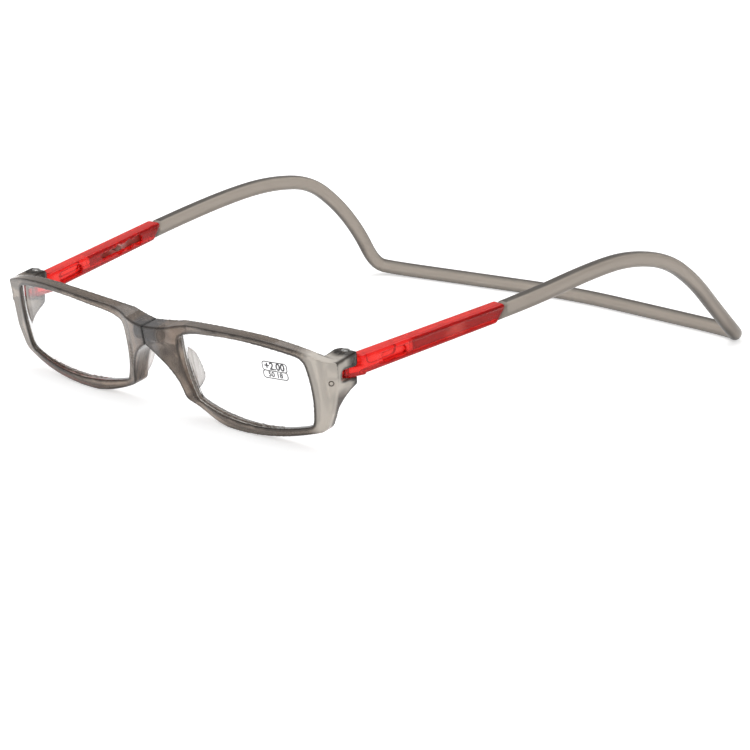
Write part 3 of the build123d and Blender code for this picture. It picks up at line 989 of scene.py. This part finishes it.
class GLASSES_OT_neckband(bpy.types.Operator):
    """Makes the neckband: a frosted band, flat near the arms and round behind, and its two bars."""

    bl_idname = "glasses.neckband"
    bl_label = "Neckband"

    # Route of one side: two places on the arm's axis, then shares of the half width, of the reach
    # from the tilt line, and of the peak, and the last two on the table
    first = 43.6 * mm
    lead = 61.8 * mm
    flare = 0.5 * mm
    reach = 171.3 * mm
    peak = 35.6 * mm
    high_shares = np.array([(1.000, 0.560, 0.977), (1.000, 0.655, 1.001), (1.000, 0.751, 0.940),
                            (0.985, 0.824, 0.696), (0.958, 0.880, 0.418), (0.943, 0.935, 0.100)])
    floor_shares = np.array([(0.888, 0.957), (0.480, 0.979)])
    middle_share = 1.004

    # How the band lies askew: the push back, the power of its growth, and how much lower the left
    # side hangs, from one of its corners on
    lean = 7.5 * mm
    lean_power = 3.8
    droop = 1.4 * mm
    droop_corner = 4

    # Slanted end of the band behind the arm: place on the arm's axis, slide for each unit of height
    cut = 52.2 * mm
    slant = 4.6 / 4.8
    slant_run = 6.0 * mm

    # Section near the arm: half thickness, corner power, and how far it takes to turn round
    flat_half = 1.95 * mm
    flat_power = 4.4
    flat_run = 105.0 * mm

    # Painted shade as a dark line along its top and foot: its start behind and near the arm,
    # where it is full, strength
    ridge_start = (0.55, 0.85)
    ridge_full = 0.98
    ridge_share = 0.9

    # Bar and catch: ends on the arm's axis, place across, half sizes, corner, and where the painted
    # shade on the bar fades
    bar_ends = (21.6 * mm, 54.2 * mm)
    bar_middle = -0.5 * mm
    bar_half = np.array([0.85, 1.5]) * mm
    bar_corner = 0.5 * mm
    catch_place = (33.8 * mm, 0.35 * mm)
    catch_half = np.array([0.65, 1.1]) * mm
    catch_corner = 0.6 * mm
    catch_ends = (-0.5 * mm, 2.05 * mm)
    bar_fade = (54.0 * mm, 50.0 * mm)

    ring_points = 48
    rings = 270
    bend_steps = 60
    bar_rings = 48
    corner_points = 6

    # Tones: attribute, colour, scale of its noise, and the range that it multiplies the share by
    layers = (
        # Painted shade and the red of the arm: the bars darker and redder where they lie inside the
        # arms
        ("bar", (0.50, 0.26, 0.21), 200.0, 0.9, 1.0),
        ("patch", (1.0, 0.93, 0.89), 200.0, 0.9, 1.0),
        # Painted shade: the dark line along the top and foot
        ("edge", (0.025, 0.020, 0.016), 200.0, 0.85, 1.0),
    )

    def execute(self, context):
        sizes, colours, _ = settings()
        frost = clear_plastic(
            "frosted_plastic", colours.frost, self.layers, shade=0.95,
            absorption=(0.72, 0.66, 0.60), density=90.0, roughness=0.34, transmission=0.5,
            coat=0.12, milky=("edge", 0.12))
        points, faces, edge = self.band(sizes.band_radius)
        left, left_faces, shade, pale = self.bar()
        bars = [(left, left_faces), (mirrored(left), flipped(left_faces))]
        piece = put_mesh("neckband_moulding", *joined([(points, faces), *bars]))
        on_band, on_bars = np.zeros(len(edge)), np.zeros(2 * len(shade))
        put_attribute(piece.data, "edge", np.concatenate([edge, on_bars]))
        put_attribute(piece.data, "bar", np.concatenate([on_band, shade, shade]))
        put_attribute(piece.data, "patch", np.concatenate([on_band, pale, pale]))
        dress(piece, frost, "neckband", ["neckband"])
        return {"FINISHED"}

    def corners(self, radius, sign):
        """Corners of one side's route, from the arm to the last before the middle.

        The band lies askew: its left side is pushed back by lean * share, where the share grows
        from 0 to 1 over the loop as a power of the distance gone, and goes back to 0 at the middle.
        Its right side is pushed forward by the same, and the left one hangs lower by the droop.
        """
        pin, along, _, _ = arm_axes()
        back = (0, tilt_line[1], 0)
        lead = pin + along * self.lead
        across = lead[0] + self.flare
        high = self.high_shares * (across, self.reach, self.peak)
        low = np.full((len(self.floor_shares), 3), radius)
        low[:, :2] = self.floor_shares * (across, self.reach)
        side = np.vstack([pin + along * self.first, lead, high + back, low + back])
        gone = gone_along(side)
        turn = len(self.high_shares) + 1
        share = ramp(gone, gone[1], gone[turn]) ** self.lean_power
        share[turn + 1:] = side[turn + 1:, 0] / side[turn, 0]
        side[:, 1] += sign * self.lean * share
        if sign > 0:
            hanging = side[self.droop_corner:, 2]
            hanging[:] = np.maximum(hanging - self.droop, radius)
        side[:, 0] *= sign
        return side

    def centre_line(self, radius):
        """Quadratic spline of the route, at an even step, and the distance gone at each point.

        A bend is (1-t)^2 a + 2t(1-t) b + t^2 c: b is a corner, a and c the middles of its two runs.
        """
        middle = np.array([[0.0, self.reach * self.middle_share + tilt_line[1], radius]])
        route = np.vstack([self.corners(radius, 1), middle, self.corners(radius, -1)[::-1]])
        middles = (route[:-1] + route[1:]) / 2
        start, end = middles[:-1].copy(), middles[1:].copy()
        start[0], end[-1] = route[0], route[-1]
        t = np.linspace(0, 1, self.bend_steps, endpoint=False)[None, :, None]
        bends = (1 - t) ** 2 * start[:, None] + t ** 2 * end[:, None]
        bends = bends + 2 * t * (1 - t) * route[1:-1, None]
        line = np.vstack([bends.reshape(-1, 3), route[-1:]])
        gone = gone_along(line)
        inset = self.cut - self.first
        where = np.linspace(inset, gone[-1] - inset, self.rings)
        even = np.stack([np.interp(where, gone, column) for column in line.T], -1)
        return even, where - inset

    def band(self, radius):
        """Section along the line: half * sign(cos v) |cos v|^(2/n), radius and sin v upwards.

        n falls from the flat power at the arm to 2, a circle, after the flat run, and the half
        thickness grows to the radius. The end rings slide along the arm's axis by slant * height,
        onto the slanted cut. With the points and faces comes the share of the painted shade, a dark
        line.
        """
        line, gone = self.centre_line(radius)
        ahead = unit(np.gradient(line, axis=0))
        side = unit(np.cross(ahead, (0.0, 0.0, 1.0)))
        up = np.cross(side, ahead)
        near = np.minimum(gone, gone[-1] - gone)
        run = ramp(near, 0.0, self.flat_run)
        flat = ((1 - run) ** 2 * (1 + 2 * run))[:, None]
        power = 2 / (2 + (self.flat_power - 2) * flat)
        half = radius + (self.flat_half - radius) * flat
        v = np.linspace(0, 2 * math.pi, self.ring_points, endpoint=False)[None, :]
        out = half * np.sign(np.cos(v)) * np.abs(np.cos(v)) ** power
        rise = radius * np.sign(np.sin(v)) * np.abs(np.sin(v)) ** power
        _, along, _, _ = arm_axes()
        slide = np.where(line[:, :1] > 0, along, mirrored(along))
        pull = (1 - ramp(near, 0.0, self.slant_run))[:, None] * rise * self.slant
        points = line[:, None] + side[:, None] * out[..., None] + up[:, None] * rise[..., None]
        points += slide[:, None] * pull[..., None]
        behind_arm, near_arm = self.ridge_start
        start = behind_arm + (near_arm - behind_arm) * flat
        edge = self.ridge_share * ramp(np.abs(np.sin(v)), start, self.ridge_full)
        faces = flipped(tube_faces(self.rings, self.ring_points))
        return points.reshape(-1, 3), faces, edge.ravel()

    def bar(self):
        """Rounded bar along the arm's axis and the flat oval catch square to it.

        With the points and faces come the shares of the bar's painted shade and of the pale patch.
        """
        pin, along, inner, up = arm_axes()
        place = np.linspace(*self.bar_ends, self.bar_rings)
        path = pin + along * place[:, None] + inner * self.bar_middle
        section = rounded(self.bar_half, self.bar_corner, self.corner_points)
        bar = carried(path, inner, up, section)
        depth = np.array(self.catch_ends)[:, None]
        path = pin + along * self.catch_place[0] + up * self.catch_place[1] + inner * depth
        oval = rounded(self.catch_half, self.catch_corner, self.corner_points)
        points, faces = joined([bar, carried(path, up, along, oval)])
        shade, pale = np.ones(len(points)), np.zeros(len(points))
        shade[:len(bar[0])] = np.repeat(ramp(place, *self.bar_fade), len(section))
        pale[:len(bar[0])] = np.repeat(patch_share(place), len(section))
        return points, faces, shade, pale


class GLASSES_OT_hardware(bpy.types.Operator):
    """Finishes the magnets, screws and bushes."""

    bl_idname = "glasses.hardware"
    bl_label = "Magnets and screws"

    def execute(self, context):
        nickel = metal("nickel_plating", (0.56, 0.58, 0.62), roughness=0.3, scale=900.0)
        steel = metal("turned_steel", (0.72, 0.71, 0.69), roughness=0.25, scale=1600.0)
        brass = metal("turned_brass", (0.74, 0.58, 0.30), roughness=0.3, scale=1600.0)
        for side in sides:
            dress_node(f"{side}_bridge_magnet", nickel)
            dress_node(f"{side}_hinge_screw", steel)
            dress_node(f"{side}_hinge_insert", brass)
        return {"FINISHED"}


class GLASSES_PT_panel(bpy.types.Panel):
    """Lists the steps that finish the glasses."""

    bl_label = "Reading glasses"
    bl_idname = "GLASSES_PT_panel"
    bl_space_type = "VIEW_3D"
    bl_region_type = "UI"
    bl_category = "Glasses"

    def draw(self, context):
        for step in steps:
            self.layout.operator(step.bl_idname)
        for group in settings():
            for name in group.__annotations__:
                self.layout.prop(group, name)


steps = (
    GLASSES_OT_stage,
    GLASSES_OT_fronts,
    GLASSES_OT_gate_marks,
    GLASSES_OT_lenses,
    GLASSES_OT_print,
    GLASSES_OT_arms,
    GLASSES_OT_neckband,
    GLASSES_OT_hardware,
)
groups = {
    "glasses_sizes": GlassesSizes,
    "glasses_colours": GlassesColours,
    "glasses_stage": GlassesStage,
}


def register():
    """Registers the settings, the steps and the panel."""
    for name, group in groups.items():
        bpy.utils.register_class(group)
        setattr(bpy.types.Scene, name, PointerProperty(type=group))
    for step in (*steps, GLASSES_PT_panel):
        bpy.utils.register_class(step)


def unregister():
    """Takes them all away again."""
    for step in (GLASSES_PT_panel, *reversed(steps)):
        bpy.utils.unregister_class(step)
    for name, group in groups.items():
        delattr(bpy.types.Scene, name)
        bpy.utils.unregister_class(group)


def main():
    """Runs every step."""
    register()
    bpy.ops.glasses.stage()
    bpy.ops.glasses.fronts()
    bpy.ops.glasses.gate_marks()
    bpy.ops.glasses.lenses()
    bpy.ops.glasses.print()
    bpy.ops.glasses.arms()
    bpy.ops.glasses.neckband()
    bpy.ops.glasses.hardware()


if __name__ == "__main__":
    main()
